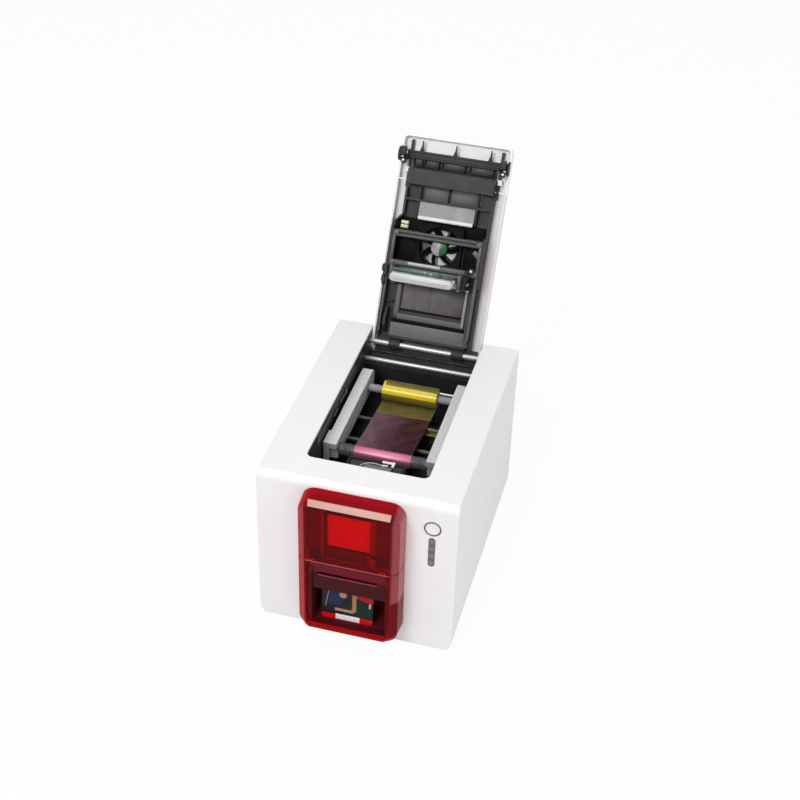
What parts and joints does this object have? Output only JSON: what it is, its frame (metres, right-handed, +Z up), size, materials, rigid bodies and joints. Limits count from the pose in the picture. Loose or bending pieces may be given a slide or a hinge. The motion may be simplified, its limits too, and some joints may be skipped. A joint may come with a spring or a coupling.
{
  "type": "id card printer",
  "caption": "Desktop printer for plastic ID cards with a rear-hinged lid open over its ribbon cassette, a front card feeder door and an output hopper.",
  "frame": {"origin": "desk level, at the bottom centre of the printer's bounding box with its lid standing open", "axes": "+X to the right seen from the front, +Y to the rear, +Z up"},
  "size_m": [0.205, 0.4204, 0.3871],
  "materials": {
    "white_shell": "satin white moulded plastic",
    "grey_shell": "satin pale grey plastic",
    "black_plastic": "fine matt black",
    "grey_plastic": "textured light grey",
    "steel": "brushed",
    "chrome": "polished",
    "red_clear": "clear red plastic",
    "card_white": "glossy PVC",
    "card_print": "glossy printed PVC",
    "rubber": "matt",
    "clean_rubber": "tacky, matt",
    "belt_rubber": "matt",
    "board": "solder mask",
    "ribbon_yellow": "coated film",
    "ribbon_pink": "coated film",
    "ribbon_film": "thin coated film",
    "cream_plastic": "connector plastic",
    "port_metal": "plated steel"
  },
  "bodies": {
    "printer": {"front_top_cover": "white_shell", "left_side_panel": "grey_shell", "right_side_panel": "grey_shell", "rear_panel": "grey_shell", "base_tray": "grey_shell", "rubber_feet": "rubber", "well_liner": "black_plastic", "left_frame_plate": "steel", "right_frame_plate": "steel", "hinge_brackets": "steel", "hinge_rod": "chrome", "rear_tie_bar": "chrome", "card_path_plate": "steel", "card_feeder": "black_plastic", "card_stack": "card_white", "stack_pusher": "black_plastic", "door_hinge_pin": "chrome", "output_hopper": "red_clear", "hopper_chute": "black_plastic", "printed_card": "card_print", "button_ring": "black_plastic", "status_light": "black_plastic", "front_board": "board", "cleaning_cartridge": "grey_plastic", "drive_motor": "steel", "drive_belt": "belt_rubber", "cassette_frame": "grey_plastic", "ribbon_film": "ribbon_film", "main_board": "board", "power_inlet": "black_plastic", "usb_port": "port_metal", "network_port": "port_metal", "switch_housing": "black_plastic"},
    "lid": {"lid_cover": "white_shell", "lid_inner_frame": "black_plastic", "lid_frame_ribs": "black_plastic", "deflector_plate": "steel", "fan_housing": "black_plastic", "head_carrier": "black_plastic", "lid_connectors": "cream_plastic", "lid_window": "black_plastic", "lid_stay": "black_plastic"},
    "release_panel": {"lid_button": "white_shell"},
    "latch": {"latch_bar": "black_plastic"},
    "head": {"print_head": "steel", "head_board": "board"},
    "fan": {"fan_rotor": "black_plastic"},
    "feeder_door": {"feeder_door": "red_clear"},
    "control_button": {"control_button": "white_shell"},
    "supply_spool": {"supply_core": "grey_plastic", "supply_roll": "ribbon_yellow"},
    "takeup_spool": {"takeup_core": "black_plastic", "takeup_roll": "ribbon_pink"},
    "platen": {"platen_roller": "rubber", "platen_shaft": "steel"},
    "pickup": {"pickup_roller": "rubber"},
    "entry": {"entry_roller": "rubber"},
    "cleaning": {"cleaning_roller": "clean_rubber"},
    "motor_shaft": {"motor_pulley": "steel"},
    "rocker": {"power_switch": "black_plastic"}
  },
  "joints": [
    {"name": "lid_hinge", "type": "hinge", "parent": "printer", "child": "lid", "pos_m": [0, 0.08382, 0.182], "axis": [1, 0, 0], "range_deg": [0, 120], "deforming": ["ribbon_film"]},
    {"name": "release_panel_press", "type": "slide", "parent": "lid", "child": "release_panel", "axis": [0, -0.866, 0.5], "range_m": [0, 0.0015], "stiffness_N_per_m": 900, "springref_m": -0.002},
    {"name": "latch_slide", "type": "slide", "parent": "lid", "child": "latch", "axis": [0, -0.5, -0.866], "range_m": [0, 0.0025]},
    {"name": "print_head_slide", "type": "slide", "parent": "lid", "child": "head", "axis": [0, 0.866, -0.5], "range_m": [0, 0.002], "stiffness_N_per_m": 2500, "springref_m": -0.003},
    {"name": "fan_spin", "type": "hinge", "parent": "lid", "child": "fan", "pos_m": [-0.002, 0.14012, 0.27951], "axis": [0, 0.866, -0.5], "continuous": true},
    {"name": "feeder_door_hinge", "type": "hinge", "parent": "printer", "child": "feeder_door", "pos_m": [0, -0.20838, 0.1164], "axis": [1, 0, 0], "range_deg": [0, 60]},
    {"name": "control_button_press", "type": "slide", "parent": "printer", "child": "control_button", "axis": [0, 1, 0], "range_m": [0, 0.0012], "stiffness_N_per_m": 600, "springref_m": -0.001},
    {"name": "supply_spin", "type": "hinge", "parent": "printer", "child": "supply_spool", "pos_m": [0, 0.02482, 0.162], "axis": [1, 0, 0], "continuous": true},
    {"name": "takeup_spin", "type": "hinge", "parent": "printer", "child": "takeup_spool", "pos_m": [0, -0.08518, 0.1605], "axis": [1, 0, 0], "continuous": true},
    {"name": "platen_spin", "type": "hinge", "parent": "printer", "child": "platen", "pos_m": [0, 0.00782, 0.1298], "axis": [1, 0, 0], "continuous": true},
    {"name": "pickup_spin", "type": "hinge", "parent": "printer", "child": "pickup", "pos_m": [0, -0.12018, 0.1191], "axis": [1, 0, 0], "continuous": true},
    {"name": "entry_spin", "type": "hinge", "parent": "printer", "child": "entry", "pos_m": [0, -0.09788, 0.1195], "axis": [1, 0, 0], "continuous": true},
    {"name": "cleaning_spin", "type": "hinge", "parent": "printer", "child": "cleaning", "pos_m": [0, -0.09788, 0.13316], "axis": [1, 0, 0], "continuous": true},
    {"name": "motor_spin", "type": "hinge", "parent": "printer", "child": "motor_shaft", "pos_m": [0, -0.04418, 0.096], "axis": [1, 0, 0], "continuous": true},
    {"name": "power_rocker", "type": "hinge", "parent": "printer", "child": "rocker", "pos_m": [0, 0.09282, 0.049], "axis": [1, 0, 0], "range_deg": [-12, 0]}
  ],
  "couplings": [
    {"joint": "latch_slide", "follows": "release_panel_press", "ratio": 1.6667},
    {"joint": "takeup_spin", "follows": "supply_spin", "ratio": 1.4},
    {"joint": "pickup_spin", "follows": "platen_spin", "ratio": 1},
    {"joint": "entry_spin", "follows": "platen_spin", "ratio": 1},
    {"joint": "cleaning_spin", "follows": "platen_spin", "ratio": -1.0833},
    {"joint": "motor_spin", "follows": "platen_spin", "ratio": 1.4}
  ]
}
